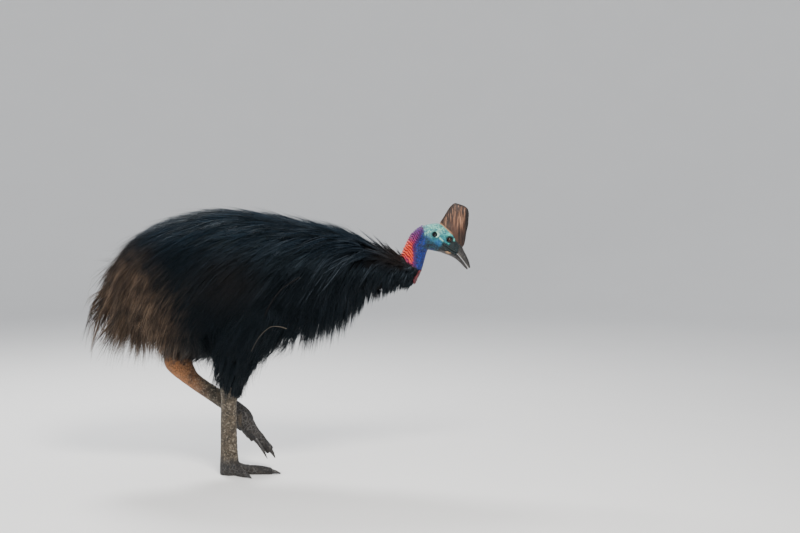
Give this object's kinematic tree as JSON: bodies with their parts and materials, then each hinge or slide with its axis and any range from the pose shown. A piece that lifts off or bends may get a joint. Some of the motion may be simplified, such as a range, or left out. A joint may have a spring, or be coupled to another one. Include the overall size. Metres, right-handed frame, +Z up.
{
  "type": "cassowary",
  "caption": "Life-size still model of a cassowary in mid-stride: shaggy body, bare neck, casque and three-toed feet.",
  "frame": {"origin": "on the floor, under the heel pad of the standing right foot, in the bird's mid-plane", "axes": "+X the way the bird faces, +Y to its left, +Z up"},
  "size_m": [1.4758, 0.4018, 1.0416],
  "materials": {
    "plumage": "matte",
    "rump_plumage": "matte",
    "neck_skin": "satin",
    "head_skin": "satin",
    "wattle_skin": "satin",
    "casque_horn": "satin",
    "bill_horn": "satin",
    "eye": "gloss",
    "leg_skin": "matte",
    "claw_horn": "satin",
    "quill_horn": "satin"
  },
  "bodies": {
    "root": {"torso": "plumage", "rump": "rump_plumage", "neck_base": "plumage", "neck": "neck_skin", "head": "head_skin", "casque": "casque_horn", "bill_upper": "bill_horn", "bill_lower": "bill_horn", "eye_right": "eye", "eye_left": "eye", "wattle_right": "wattle_skin", "wattle_left": "wattle_skin", "wing_right": "quill_horn", "wing_left": "quill_horn", "thigh_right": "plumage", "thigh_left": "plumage", "tarsus_right": "leg_skin", "tarsus_left": "leg_skin", "toe_middle_right": "leg_skin", "toe_outer_right": "leg_skin", "toe_inner_right": "leg_skin", "toe_middle_left": "leg_skin", "toe_outer_left": "leg_skin", "toe_inner_left": "leg_skin", "claw_middle_right": "claw_horn", "claw_outer_right": "claw_horn", "claw_inner_right": "claw_horn", "claw_middle_left": "claw_horn", "claw_outer_left": "claw_horn", "claw_inner_left": "claw_horn"}
  },
  "joints": []
}
